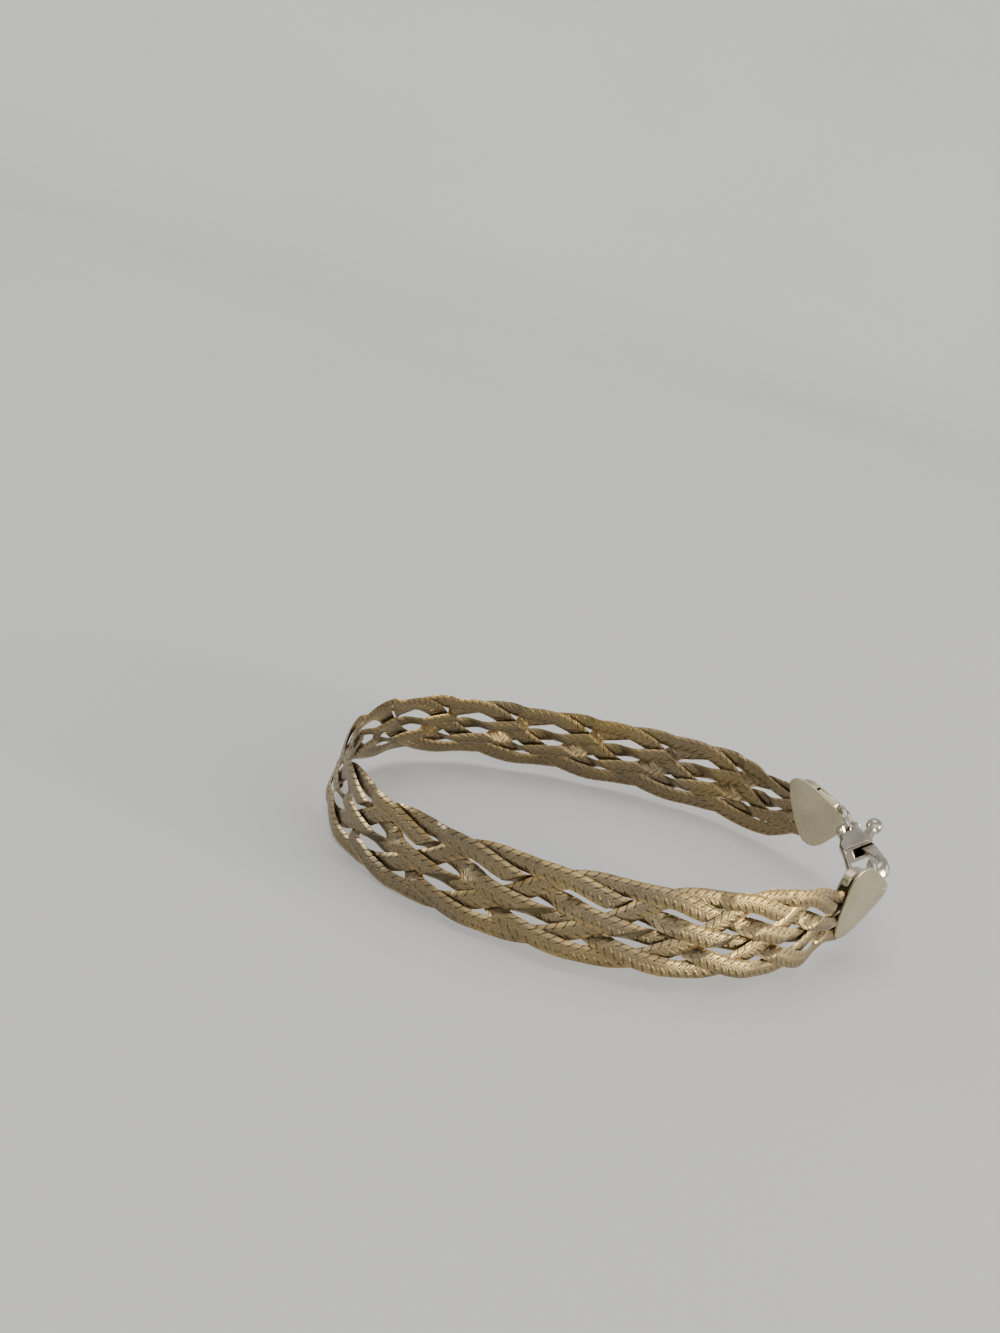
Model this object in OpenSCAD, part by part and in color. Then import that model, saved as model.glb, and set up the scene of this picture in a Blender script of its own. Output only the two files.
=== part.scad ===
// Braided bracelet of six flat herringbone chains with leaf-shaped end caps and a lobster clasp.
// Frame: +Z runs along the wrist, the origin is the centre of the wrist opening.
// The band's position is given as [s, y, z]: s is the distance round the loop from its right end,
// y is the height on the band (towards +Z) and z is the height above its middle surface (outwards).

/* [Loop] */
// Half length of the wrist opening's long axis, to the band's middle
loop_a = 34.3; // [33:0.1:37]
// Half length of its short axis
loop_b = 25.8; // [24:0.1:28]
// How much blunter the right end is than the left end
loop_blunt = 2.85; // [1:0.05:3.5]
// How square the front and back runs are
loop_square = -2.1; // [-2.5:0.1:0]
// How far the worn loop leans off a flat plane
loop_sag = 0.3; // [0:0.05:0.6]
// How far the loop's right back corner stands out to the right
corner_x = 2.6; // [0:0.1:3]
// How far that corner stands out to the back
corner_y = 1.6; // [0:0.1:2]
// Mean angle by which the band's lower edge stands out, in degrees
flare = 3.9; // [0:0.1:6]

/* [Band] */
// Width of the plaited band
band_w = 9.5; // [9.2:0.1:10.5]
// Distance along the band from one plait bump to the next
pitch = 10.26; // [10:0.02:10.5]
// Where the band starts, behind the wrist
band_start = 10.2; // [9.8:0.1:10.8]
// Where the band starts to bend, beyond a straight run behind the wrist
back_straight = 15.5; // [15.5:0.1:17]
// Where the band ends, at the front right
band_end = 164; // [163.2:0.1:165.2]
// Place of the first strand's top bump
plait_place = 101.55; // [100:0.05:103]
// Share of the band's width left where it enters the end caps
end_share = 0.78; // [0.76:0.01:0.8]
// Share of the strands' thickness left where the caps press them flat
end_press = 0.82; // [0.8:0.01:0.84]
// How far the front cap sits above the band's middle line
front_climb = 1.4; // [0:0.1:1.6]
// How far below the front cap's own middle the strands enter it
front_drop = 1.6; // [1.4:0.1:1.7]
// How far it climbs as it enters the back cap
back_climb = 0.3; // [0:0.1:1]
// How far below the back cap's middle the strands enter it
back_drop = 0.55; // [0.5:0.05:0.7]
// Angle by which the front cap points up, in degrees
front_tilt = 9; // [0:0.5:12]
// Angle by which it turns away from the wrist, in degrees
front_turn = 8.5; // [0:0.5:12]
// Angle by which its top leans away from the wrist, in degrees
front_lean = 8; // [0:0.5:12]
// Angle by which the back cap's top leans towards the wrist, in degrees
back_lean = 25; // [0:1:30]
// Angle by which its tip points up, in degrees
back_tilt = 14; // [10:0.5:16]

/* [Strand] */
// Width of one herringbone strand
strand_w = 1.98; // [1.7:0.01:2]
// Thickness of a strand at its middle
strand_t = 0.42; // [0.38:0.01:0.44]
// Thickness of a strand at its edges
strand_edge = 0.2; // [0.15:0.01:0.24]
// Gap between two strands where they cross
strand_gap = 0.12; // [0.1:0.01:0.12]

/* [End cap] */
// Width of a cap across the band
cap_w = 9.0; // [8.6:0.1:9.4]
// Thickness over both plates
cap_t = 2.0; // [2:0.05:2.3]
// Thickness of one plate
plate_t = 0.3; // [0.25:0.01:0.32]
// Depth of the slot that holds the strands
cap_slot = 3.3; // [3:0.1:3.8]
// Distance from the slot's mouth to the middle of the eye at the tip
cap_eye = 6.8; // [6.7:0.05:7]
// How much lower the second plate's upper side is
cap_fold = 0.8; // [0.6:0.05:0.9]
// Gap between that plate's thick rim and the first plate
rim_gap = 0.3; // [0.2:0.05:0.4]

/* [Clasp] */
// Thickness of the clasp
clasp_t = 2.2; // [2:0.05:2.6]
// Outer radius of the claw's nose
nose_r = 2.4; // [2.2:0.05:2.6]
// Mean radius of a jump ring
ring_r = 1.9; // [1.85:0.05:2]
// Thickness of a jump ring's wire
ring_wire = 0.75; // [0.6:0.05:0.8]
// Radius of the rim of the tail's ring eye
eye_r = 1.5; // [1.4:0.05:1.6]
// Bore of that eye
eye_bore = 1.8; // [1.7:0.05:1.9]
// Angle by which the clasp is rolled outwards about its length, in degrees
clasp_roll = 53; // [52:1:60]
// Angle by which the first jump ring turns the other way
ring_turn = 15; // [12:1:16]
// Diameter of the lever's hinge pin
pin_d = 0.7; // [0.5:0.05:0.8]
// Clearance round the lever
lever_gap = 0.1; // [0.08:0.01:0.12]

/* [Hidden] */
silver = [0.82, 0.80, 0.75];
tarnish = [0.62, 0.56, 0.46];

// --- small helpers ---
function unit(v) = v / norm(v);
function lerp(a, b, u) = a + (b - a) * u;
function ease(u) = let (c = min(1, max(0, u))) c * c * (3 - 2 * c);

// --- the loop's middle line, by angle in degrees ---
corner_from = 36;
function corner_at(a) = let (u = min(1, max(0, (a - corner_from) / (90 - corner_from)))) 6.75 * u * (1 - u) * (1 - u);
function loop_at(a) = [
    loop_a * cos(a) + loop_blunt * cos(2 * a) - 0.25 * cos(3 * a) + corner_x * corner_at(a),
    loop_b * sin(a) - 0.95 * sin(2 * a) + loop_square * sin(3 * a) + corner_y * corner_at(a),
    loop_sag * (sin(3 * a) - 0.9 * cos(2 * a) + 0.7 * cos(3 * a) - 0.2 * sin(2 * a))];
function flare_at(a) = flare - 5.2 * cos(a) + 6.5 * sin(a) - 10.9 * cos(2 * a) - 2.3 * sin(2 * a);
steps = 240;
loop_pts = [for (i = [0:steps]) loop_at(360 * i / steps)];
// Distance round the loop against angle, for looking either up from the other
dist_angle = [for (i = 0, s = 0; i <= steps; s = s + (i < steps ? norm(loop_pts[i + 1] - loop_pts[i]) : 0), i = i + 1)
    [s, 360 * i / steps]];
loop_len = dist_angle[steps][0];
// Frame of the band at distance s: [middle point, along, up, out]
function frame_at(s) =
    let (q = s < 0 ? s + loop_len : s > loop_len ? s - loop_len : s,
         a = lookup(q, dist_angle),
         t = unit(loop_at(a + 0.5) - loop_at(a - 0.5)),
         n = unit([t[1], -t[0], 0]),
         u0 = cos(flare_at(a)) * [0, 0, 1] - sin(flare_at(a)) * n,
         u = unit(u0 - (u0 * t) * t))
    [loop_at(a), t, u, cross(t, u)];

// --- the band: it narrows and climbs a little at both ends ---
function end_near(s) = min(s - band_start, band_end - s);
function share_at(s) = lerp(end_share, 1, ease(end_near(s) / 7.5));
function press_at(s) = lerp(end_press, 1, ease(end_near(s) / 5));
function front_at(s) = min(1, max(0, 1 - (band_end - s) / 9));
function back_at(s) = ease(1 - (s - band_start) / 14);
// A frame turned about one of its own axes (1 along, 2 up, 3 out)
function rot(v, k, a) = v * cos(a) + cross(k, v) * sin(a) + k * (k * v) * (1 - cos(a));
function turned(f, i, a) = [f[0], rot(f[1], f[i], a), rot(f[2], f[i], a), rot(f[3], f[i], a)];
// Frame of the plait: [middle point, along, up, out]; past the band's ends it runs straight on
function band_frame(s) =
    let (e = min(max(s, back_straight), band_end), f = frame_at(e), k = front_at(s),
         b = back_at(s), h = turned(turned(f, 2, -front_turn * k), 3, front_tilt * k - back_tilt * b),
         g = turned(h, 1, front_lean * k - back_lean * b))
    [f[0] + (s - e) * g[1] + (front_climb * k * k + back_climb * back_at(s)) * f[2], g[1], g[2], g[3]];
// A point of the flat plait, wrapped on the loop
function place(s, y, z) = let (f = band_frame(s), k = front_at(s))
    f[0] + (share_at(s) * y - front_drop * k * k - back_drop * back_at(s)) * f[2] + press_at(s) * z * f[3];

// --- one strand of the plait; its phase runs from 0 at a top bump through 6 to the next ---
// Middle line of a strand: [phase, share of the band's width below the top edge]
line_table = [
    [0.00, 0.130], [0.45, 0.160], [0.90, 0.302], [1.45, 0.432], [1.90, 0.540], [2.35, 0.620],
    [2.65, 0.672], [3.00, 0.782], [3.30, 0.862], [3.65, 0.900], [4.05, 0.880], [4.30, 0.812],
    [4.53, 0.705], [4.75, 0.590], [5.01, 0.425], [5.24, 0.260], [5.50, 0.152]];
line_n = len(line_table);
function line_x(i) = line_table[(i + line_n) % line_n][0] + (i < 0 ? -6 : i >= line_n ? 6 : 0);
function line_y(i) = (0.5 - line_table[(i + line_n) % line_n][1]) * band_w;
function line_m(i) = let (h0 = line_x(i) - line_x(i - 1), h1 = line_x(i + 1) - line_x(i))
    ((line_y(i) - line_y(i - 1)) / h0 * h1 + (line_y(i + 1) - line_y(i)) / h1 * h0) / (h0 + h1);
line_slopes = [for (i = [0:line_n]) i == line_n ? line_m(0) : line_m(i)];
function wrap6(f) = f - 6 * floor(f / 6);
function seg_of(f) = len([for (r = line_table) if (r[0] <= f) 1]) - 1;
function line_at(phase) =
    let (f = wrap6(phase), i = seg_of(f), h = line_x(i + 1) - line_x(i), u = (f - line_x(i)) / h)
    (2 * u * u * u - 3 * u * u + 1) * line_y(i) + (u * u * u - 2 * u * u + u) * h * line_slopes[i]
    + (3 * u * u - 2 * u * u * u) * line_y(i + 1) + (u * u * u - u * u) * h * line_slopes[i + 1];
// Slant of a strand's cross lines, so that they lie along the strands it crosses: [phase, phase per mm]
slant_table = [[0, 0], [0.5, 0.062], [0.95, 0.088], [1.45, 0.09], [2.15, 0.15], [2.8, 0.095], [3.4, 0.03],
    [3.65, 0.002], [4.1, -0.048], [4.43, -0.096], [4.77, -0.15], [4.95, -0.1], [5.27, -0.068], [5.6, -0.02], [6, 0]];
// A strand draws in a little where another one covers it: [phase, share of its width]
width_table = [[0, 0.95], [0.2, 1], [0.8, 1], [1, 0.86], [1.3, 0.88], [1.5, 1], [2.1, 1], [2.3, 0.88], [2.6, 0.86],
    [2.8, 0.88], [3, 1], [3.4, 1], [3.65, 0.92], [3.9, 1], [5.8, 1], [6, 0.95]];
// Falling strands pass right over or under the rising ones, which stay nearly flat
low = 0.03;
high = strand_t + strand_gap - low;
// Height of a strand: [phase, height]
height_table = [
    [0.15, high], [0.90, high], [0.99, -high], [1.34, -high], [1.60, high], [2.04, high], [2.28, -high],
    [2.73, -high], [2.90, high], [3.45, high], [3.86, -low], [4.38, -low], [4.48, low], [4.73, low],
    [4.80, -low], [4.92, -low], [4.99, low], [5.24, low], [5.30, -low], [5.96, -low], [6.15, high]];
function height_at(phase) =
    let (f = wrap6(phase - 0.15) + 0.15,
         i = min(len([for (r = height_table) if (r[0] <= f) 1]) - 1, len(height_table) - 2),
         a = height_table[i], b = height_table[i + 1])
    lerp(a[1], b[1], ease((f - a[0]) / (b[0] - a[0])));
// Phases of the rings in one period: the table's rows, and steps of at most 0.2 between them
ring_phases = [for (i = [0:len(height_table) - 2])
    let (a = height_table[i][0], b = height_table[i + 1][0],
         n = max(abs(height_table[i][1] - height_table[i + 1][1]) > 0.1 ? 3 : 1, ceil((b - a) / 0.2)))
    for (k = [0:n - 1]) a + (b - a) * k / n];
// Cross section of a strand: [share of the width, share of the thickness], thinner at its edges
edge_share = strand_edge / strand_t / 2;
section = [[-0.5, -edge_share], [-0.27, -0.5], [0.27, -0.5], [0.5, -edge_share],
           [0.5, edge_share], [0.27, 0.5], [-0.27, 0.5], [-0.5, edge_share]];
// One ring of points at a phase, of strand number j
function strand_ring(phase, j) =
    let (k = lookup(wrap6(phase), slant_table), z = height_at(phase), w = strand_w * lookup(wrap6(phase), width_table))
    [for (c = section)
        let (off = c[0] * w, f = phase + k * off, dy = (line_at(f + 0.01) - line_at(f - 0.01)) / 0.02,
             t = unit([pitch, dy]), s = plait_place + (f + j) * pitch)
        place(s - t[1] * off, line_at(f) + t[0] * off, z + c[1] * strand_t)];
// Straight way from the band's end to a cap's mouth
lead = 0.8;
// The strands' middles end this far inside the caps' slots, and their slanted corners a little further
grip = cap_slot + lead - 1.95;
module strand(j) {
    first = (band_start - grip - plait_place) / pitch - j;
    last = (band_end + grip - plait_place) / pitch - j;
    inner = [for (n = [floor(first / 6) - 1:ceil(last / 6)]) for (f = ring_phases) 6 * n + f];
    base = concat([first], [for (f = inner) if (f > first + 0.06 && f < last - 0.06) f], [last]);
    // Closer rings where the band bends into a cap's straight way
    bend_a = (band_end - plait_place) / pitch - j;
    bend_b = (band_start - plait_place) / pitch - j;
    phases = concat([for (i = [0:len(base) - 2])
        let (a = base[i], b = base[i + 1], m = (a + b) / 2,
             c = abs(m - bend_a) < 0.45 ? ceil((b - a) / 0.07) : abs(m - bend_b) < 0.3 ? ceil((b - a) / 0.08) : 1)
        for (k = [0:c - 1]) a + (b - a) * k / c], [last]);
    points = [for (f = phases) each strand_ring(f, j)];
    m = len(section);
    n = len(phases);
    faces = concat(
        [for (i = [0:n - 2]) for (k = [0:m - 1]) each let (a = i * m + k, b = i * m + (k + 1) % m)
            [[a, b + m, b], [a, a + m, b + m]]],
        [for (k = [1:m - 2]) [0, k, k + 1]],
        [for (k = [1:m - 2]) [(n - 1) * m, (n - 1) * m + k + 1, (n - 1) * m + k]]);
    color(tarnish) polyhedron(points = points, faces = faces, convexity = 10);
}

// --- end caps: two plates joined by a block, open at the mouth, with an eye across the tip ---
// Frames with x out of the band's end and y up the band; the mouth is a short straight way past the band's end
function cap_frame(f, way) = [f[0], way * f[1], f[2], way * f[3]];
frame_a = cap_frame(band_frame(band_end + lead), 1);
frame_b = cap_frame(band_frame(band_start - lead), -1);
module put(f) multmatrix([[f[1][0], f[2][0], f[3][0], f[0][0]], [f[1][1], f[2][1], f[3][1], f[0][1]],
                          [f[1][2], f[2][2], f[3][2], f[0][2]], [0, 0, 0, 1]]) children();
// Outline of a plate: [distance from the mouth, half width as a share of the greatest]
cap_table = [[-0.75, 0], [-0.7, 0.35], [-0.37, 0.72], [0, 0.9], [0.9, 1], [2, 0.99], [3.3, 0.87], [4.6, 0.69],
    [5.9, 0.48], [6.9, 0.3], [7.5, 0.17], [7.7, 0]];
cap_n = len(cap_table);
cap_pts = concat([for (r = cap_table) [r[0], r[1] * cap_w / 2]],
    [for (i = [cap_n - 2:-1:1]) [cap_table[i][0], -cap_table[i][1] * cap_w / 2]]);
// A smooth closed curve through a ring of points
function round_at(p, i, u) =
    let (n = len(p), a = p[(i + n - 1) % n], b = p[i], c = p[(i + 1) % n], d = p[(i + 2) % n])
    b + 0.5 * u * (c - a + u * (2 * a - 5 * b + 4 * c - d + u * (3 * (b - c) + d - a)));
module cap_outline() polygon([for (i = [0:len(cap_pts) - 1]) for (k = [0:2]) round_at(cap_pts, i, k / 3)]);
module back_outline() intersection() { cap_outline(); translate([0, -cap_fold]) cap_outline(); }
// rim_from: where the thick rim along the upper side starts, above the cap's middle
module end_cap(rim_from) {
    color(silver) difference() {
        union() {
            translate([0, 0, cap_t / 2 - plate_t]) linear_extrude(height = plate_t) cap_outline();
            translate([0, 0, -cap_t / 2]) linear_extrude(height = plate_t) back_outline();
            // thick rim of the second plate along its upper side
            translate([0, 0, -cap_t / 2 + plate_t / 2]) linear_extrude(height = cap_t - 1.5 * plate_t - rim_gap)
                intersection() { translate([0, -0.03]) back_outline(); translate([-0.3, rim_from]) square([4.4, 5]); }
            linear_extrude(height = cap_t - plate_t, center = true)
                polygon([[cap_slot, 3], [4.6, 2.3], [6.2, 0.8], [6.2, -0.8], [4.6, -2.3], [cap_slot, -3]]);
            translate([cap_eye, 0, 0]) rotate([90, 0, 0]) cylinder(h = 1.2, r = cap_t / 2, center = true, $fn = 48);
        }
        translate([cap_eye, 0, 0]) rotate([90, 0, 0]) cylinder(h = 3, d = cap_t - 0.4, center = true, $fn = 48);
    }
}

// --- clasp, on the straight line between the middles of the two jump rings ---
eye_a = frame_a[0] + cap_eye * frame_a[1];
eye_b = frame_b[0] + cap_eye * frame_b[1];
// A ring hangs in its cap's eye and points at the other cap: [middle, away from the cap, up, across]
function ring_frame(eye, up, other, turn) =
    let (v = other - eye, x = unit(v - (v * up) * up)) turned([eye + ring_r * x, x, up, cross(x, up)], 1, -turn);
ring_a = ring_frame(eye_a, frame_a[2], eye_b, ring_turn);
ring_b = ring_frame(eye_b, frame_b[2], eye_a, 0);
span = norm(ring_b[0] - ring_a[0]);
clasp_x = unit(ring_b[0] - ring_a[0]);
clasp_up = unit([0, 0, 1] - clasp_x[2] * clasp_x);
clasp_frame = turned([ring_a[0], clasp_x, clasp_up, cross(clasp_x, clasp_up)], 1, clasp_roll);
module link_ring(f) {
    color(silver) put(f) rotate_extrude($fn = 64) translate([ring_r, 0]) circle(d = ring_wire, $fn = 24);
}
// Places along the clasp, measured from the first jump ring's middle
nose_in = ring_r - ring_wire / 2 - 0.9;
hook_r = 1.55;
mouth_x = nose_in + hook_r + 0.8;
nose_x = nose_in - 0.85 + nose_r;
tail_x = span - ring_r;
pivot = [tail_x - 3.9, 0.6];
slot_t = 1.16;
lever_t = slot_t - 2 * lever_gap;
root_r = 1.15;
module claw_outline() {
    translate([nose_x, 0]) circle(r = nose_r, $fn = 72);
    translate([tail_x - 4.4, 0]) circle(r = 1.9, $fn = 60);
    translate([tail_x, 0]) circle(r = eye_r, $fn = 48);
    polygon([[nose_x, nose_r], [tail_x - 4.4, 1.9], [tail_x - 4.4, -1.9], [nose_x, -nose_r]]);
    polygon([[tail_x - 4.3, 1.9], [tail_x, 1.1], [tail_x, -1.1], [tail_x - 4.3, -1.9]]);
}
module clasp_body() {
    color(silver) put(clasp_frame) {
        difference() {
            linear_extrude(height = clasp_t, center = true) claw_outline();
            // opening for the ring
            translate([nose_in + hook_r, 0, 0]) cylinder(h = 3, r = hook_r, center = true, $fn = 60);
            translate([nose_in + hook_r, -hook_r, -2]) cube([pivot[0] - root_r - 0.8 - nose_in - hook_r, 2 * hook_r, 4]);
            translate([mouth_x, 0, -2]) cube([pivot[0] - root_r - 0.8 - mouth_x, 6, 4]);
            // slot for the lever's root
            translate([pivot[0] - root_r - 1, pivot[1] - root_r - 0.15, -slot_t / 2]) cube([root_r + 3.1, 6, slot_t]);
            // bore of the tail's ring eye, and its thinner rim
            translate([tail_x, 0, 0]) cylinder(h = 4, d = eye_bore, center = true, $fn = 48);
            for (side = [-1, 1]) translate([tail_x - 1.6, -3, side * 1.5 - 1]) cube([4, 6, 2]);
        }
        translate([pivot[0], pivot[1], 0]) cylinder(h = clasp_t - 0.4, d = pin_d, center = true, $fn = 32);
    }
}
// Lever: an arm that closes the opening, a round root on the pin and a thumb nub
module clasp_lever() {
    arm = pivot[0] - mouth_x - 0.15;
    color(silver) put(clasp_frame) translate([pivot[0], pivot[1], 0]) difference() {
        union() {
            cylinder(h = lever_t, r = root_r, center = true, $fn = 48);
            linear_extrude(height = lever_t, center = true)
                polygon([[0.2, root_r - 0.02], [-arm + 0.2, nose_r - pivot[1] - 0.1], [-arm, nose_r - pivot[1] - 0.95],
                         [-0.9, -0.7], [0, -0.2]]);
            linear_extrude(height = lever_t, center = true)
                polygon([[-0.7, 0.8], [0.9, 0.2], [3.1, 2.1], [2.4, 2.5]]);
            translate([2.7, 2.3, 0]) cylinder(h = 1.8, r = 0.95, center = true, $fn = 40);
        }
        cylinder(h = 4, d = pin_d + 2 * lever_gap, center = true, $fn = 32);
    }
}

strand(0);  // strand_1
strand(1);  // strand_2
strand(2);  // strand_3
strand(3);  // strand_4
strand(4);  // strand_5
strand(5);  // strand_6
put(frame_a) end_cap(2.1);  // end_cap_a
put(frame_b) end_cap(3.1);  // end_cap_b
link_ring(ring_a);  // link_ring_a
link_ring(ring_b);  // link_ring_b
clasp_body();
clasp_lever();
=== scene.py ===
"""Looks of the braided herringbone bracelet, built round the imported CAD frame.

The route of the strands and the places of the caps, rings and clasp repeat the construction's own formulas, in mm.
Strands get their V-shaped links as real geometry; caps and clasp are skinned from distance fields.
"""
import math
import bpy
import numpy as np
from mathutils import Matrix, Vector


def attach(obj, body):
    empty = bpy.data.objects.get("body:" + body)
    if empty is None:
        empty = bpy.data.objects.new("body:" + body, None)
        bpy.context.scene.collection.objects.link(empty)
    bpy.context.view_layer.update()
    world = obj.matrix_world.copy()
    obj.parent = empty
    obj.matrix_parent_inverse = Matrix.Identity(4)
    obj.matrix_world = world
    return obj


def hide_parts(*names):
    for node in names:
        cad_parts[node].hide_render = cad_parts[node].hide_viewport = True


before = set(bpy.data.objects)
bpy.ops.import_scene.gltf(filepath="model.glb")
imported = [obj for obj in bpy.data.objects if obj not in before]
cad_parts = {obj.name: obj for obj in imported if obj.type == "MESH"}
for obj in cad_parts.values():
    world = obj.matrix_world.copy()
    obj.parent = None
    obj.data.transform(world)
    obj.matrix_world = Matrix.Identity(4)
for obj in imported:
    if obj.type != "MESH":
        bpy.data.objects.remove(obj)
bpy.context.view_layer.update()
MM = 0.001
rng = np.random.default_rng(11)

# ---------------------------------------------------------------- the loop and the band, as the construction has them
loop_a, loop_b, loop_blunt, loop_square, loop_sag = 34.3, 25.8, 2.85, -2.1, 0.3
corner_x, corner_y, corner_from, flare = 2.6, 1.6, 36.0, 3.9
band_w, pitch, band_start, back_straight, band_end = 9.5, 10.26, 10.2, 15.5, 164.0
plait_place, end_share, end_press = 101.55, 0.78, 0.82
front_climb, front_drop, back_climb, back_drop = 1.4, 1.6, 0.3, 0.55
front_tilt, front_turn, front_lean, back_lean, back_tilt = 9.0, 8.5, 8.0, 25.0, 14.0
strand_w, strand_t, strand_edge, strand_gap = 1.98, 0.42, 0.2, 0.12
cap_w, cap_t, plate_t, cap_slot, cap_eye, cap_fold, rim_gap = 9.0, 2.0, 0.3, 3.3, 6.8, 0.8, 0.3
clasp_t, nose_r, ring_r, ring_wire, eye_r, eye_bore, clasp_roll = 2.2, 2.4, 1.9, 0.75, 1.5, 1.8, 53.0
pin_d, lever_gap, ring_turn = 0.7, 0.1, 15.0
lead = 0.8
grip = cap_slot + lead - 1.95


def col(x):
    return np.asarray(x, float)[..., None]


def unit(v):
    return v / np.linalg.norm(v, axis=-1, keepdims=True)


def dot(a, b):
    return (a * b).sum(-1)


def ease(u):
    c = np.clip(u, 0, 1)
    return c * c * (3 - 2 * c)


def loop_at(a):
    a = np.asarray(a, float)
    r = np.radians(a)
    u = np.clip((a - corner_from) / (90 - corner_from), 0, 1)
    c = 6.75 * u * (1 - u) * (1 - u)
    return np.stack([
        loop_a * np.cos(r) + loop_blunt * np.cos(2 * r) - 0.25 * np.cos(3 * r) + corner_x * c,
        loop_b * np.sin(r) - 0.95 * np.sin(2 * r) + loop_square * np.sin(3 * r) + corner_y * c,
        loop_sag * (np.sin(3 * r) - 0.9 * np.cos(2 * r) + 0.7 * np.cos(3 * r) - 0.2 * np.sin(2 * r))], -1)


def flare_at(a):
    r = np.radians(a)
    return flare - 5.2 * np.cos(r) + 6.5 * np.sin(r) - 10.9 * np.cos(2 * r) - 2.3 * np.sin(2 * r)


_angles = np.linspace(0, 360, 241)
_dist = np.concatenate([[0], np.cumsum(np.linalg.norm(np.diff(loop_at(_angles), axis=0), axis=1))])
loop_len = _dist[-1]


def frame_at(s):
    """Middle point, along, up and out of the band at distance s, each an array of vectors."""
    a = np.interp(np.mod(s, loop_len), _dist, _angles)
    t = unit(loop_at(a + 0.5) - loop_at(a - 0.5))
    n = unit(np.stack([t[..., 1], -t[..., 0], 0 * t[..., 0]], -1))
    fl = col(np.radians(flare_at(a)))
    u0 = np.cos(fl) * np.array([0, 0, 1.0]) - np.sin(fl) * n
    u = unit(u0 - col(dot(u0, t)) * t)
    return [loop_at(a), t, u, np.cross(t, u)]


def rot(v, k, a):
    r = col(np.radians(a))
    return v * np.cos(r) + np.cross(k, v) * np.sin(r) + k * col(dot(k, v)) * (1 - np.cos(r))


def turned(f, i, a):
    return [f[0], rot(f[1], f[i], a), rot(f[2], f[i], a), rot(f[3], f[i], a)]


def end_near(s):
    return np.minimum(s - band_start, band_end - s)


def share_at(s):
    return end_share + (1 - end_share) * ease(end_near(s) / 7.5)


def press_at(s):
    return end_press + (1 - end_press) * ease(end_near(s) / 5)


def front_at(s):
    return np.clip(1 - (band_end - s) / 9, 0, 1)


def back_at(s):
    return ease(1 - (s - band_start) / 14)


def band_frame(s):
    s = np.asarray(s, float)
    e = np.clip(s, back_straight, band_end)
    f, k, b = frame_at(e), front_at(s), back_at(s)
    h = turned(turned(f, 2, -front_turn * k), 3, front_tilt * k - back_tilt * b)
    g = turned(h, 1, front_lean * k - back_lean * b)
    return [f[0] + col(s - e) * g[1] + col(front_climb * k * k + back_climb * b) * f[2], g[1], g[2], g[3]]


def place(s, y, z):
    f, k = band_frame(s), front_at(s)
    return f[0] + col(share_at(s) * y - front_drop * k * k - back_drop * back_at(s)) * f[2] + col(press_at(s) * z) * f[3]


# ---------------------------------------------------------------- one strand of the plait
line_table = np.array([
    [0.00, 0.130], [0.45, 0.160], [0.90, 0.302], [1.45, 0.432], [1.90, 0.540], [2.35, 0.620],
    [2.65, 0.672], [3.00, 0.782], [3.30, 0.862], [3.65, 0.900], [4.05, 0.880], [4.30, 0.812],
    [4.53, 0.705], [4.75, 0.590], [5.01, 0.425], [5.24, 0.260], [5.50, 0.152]])
_lx = np.concatenate([[line_table[-1, 0] - 6], line_table[:, 0], [6, 6 + line_table[1, 0]]])
_ly = (0.5 - np.concatenate([[line_table[-1, 1]], line_table[:, 1], [line_table[0, 1], line_table[1, 1]]])) * band_w
_h = np.diff(_lx)
_d = np.diff(_ly) / _h
_m = (_d[:-1] * _h[1:] + _d[1:] * _h[:-1]) / (_h[:-1] + _h[1:])


def line_at(phase):
    f = np.mod(phase, 6)
    i = np.clip(np.searchsorted(_lx[1:-1], f, side="right") - 1, 0, len(_m) - 2)
    x0, h = _lx[1 + i], _h[1 + i]
    u = (f - x0) / h
    return ((2 * u**3 - 3 * u**2 + 1) * _ly[1 + i] + (u**3 - 2 * u**2 + u) * h * _m[i]
            + (3 * u**2 - 2 * u**3) * _ly[2 + i] + (u**3 - u**2) * h * _m[i + 1])


slant_table = np.array([[0, 0], [0.5, 0.062], [0.95, 0.088], [1.45, 0.09], [2.15, 0.15], [2.8, 0.095], [3.4, 0.03],
                        [3.65, 0.002], [4.1, -0.048], [4.43, -0.096], [4.77, -0.15], [4.95, -0.1], [5.27, -0.068],
                        [5.6, -0.02], [6, 0]])
width_table = np.array([[0, 0.95], [0.2, 1], [0.8, 1], [1, 0.86], [1.3, 0.88], [1.5, 1], [2.1, 1], [2.3, 0.88],
                        [2.6, 0.86], [2.8, 0.88], [3, 1], [3.4, 1], [3.65, 0.92], [3.9, 1], [5.8, 1], [6, 0.95]])
low = 0.03
high = strand_t + strand_gap - low
height_table = np.array([
    [0.15, high], [0.90, high], [0.99, -high], [1.34, -high], [1.60, high], [2.04, high], [2.28, -high],
    [2.73, -high], [2.90, high], [3.45, high], [3.86, -low], [4.38, -low], [4.48, low], [4.73, low],
    [4.80, -low], [4.92, -low], [4.99, low], [5.24, low], [5.30, -low], [5.96, -low], [6.15, high]])


def height_at(phase):
    f = np.mod(phase - 0.15, 6) + 0.15
    i = np.clip(np.searchsorted(height_table[:, 0], f, side="right") - 1, 0, len(height_table) - 2)
    a, b = height_table[i], height_table[i + 1]
    return a[..., 1] + (b[..., 1] - a[..., 1]) * ease((f - a[..., 0]) / (b[..., 0] - a[..., 0]))


def slant_at(phase):
    return np.interp(np.mod(phase, 6), slant_table[:, 0], slant_table[:, 1])


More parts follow.
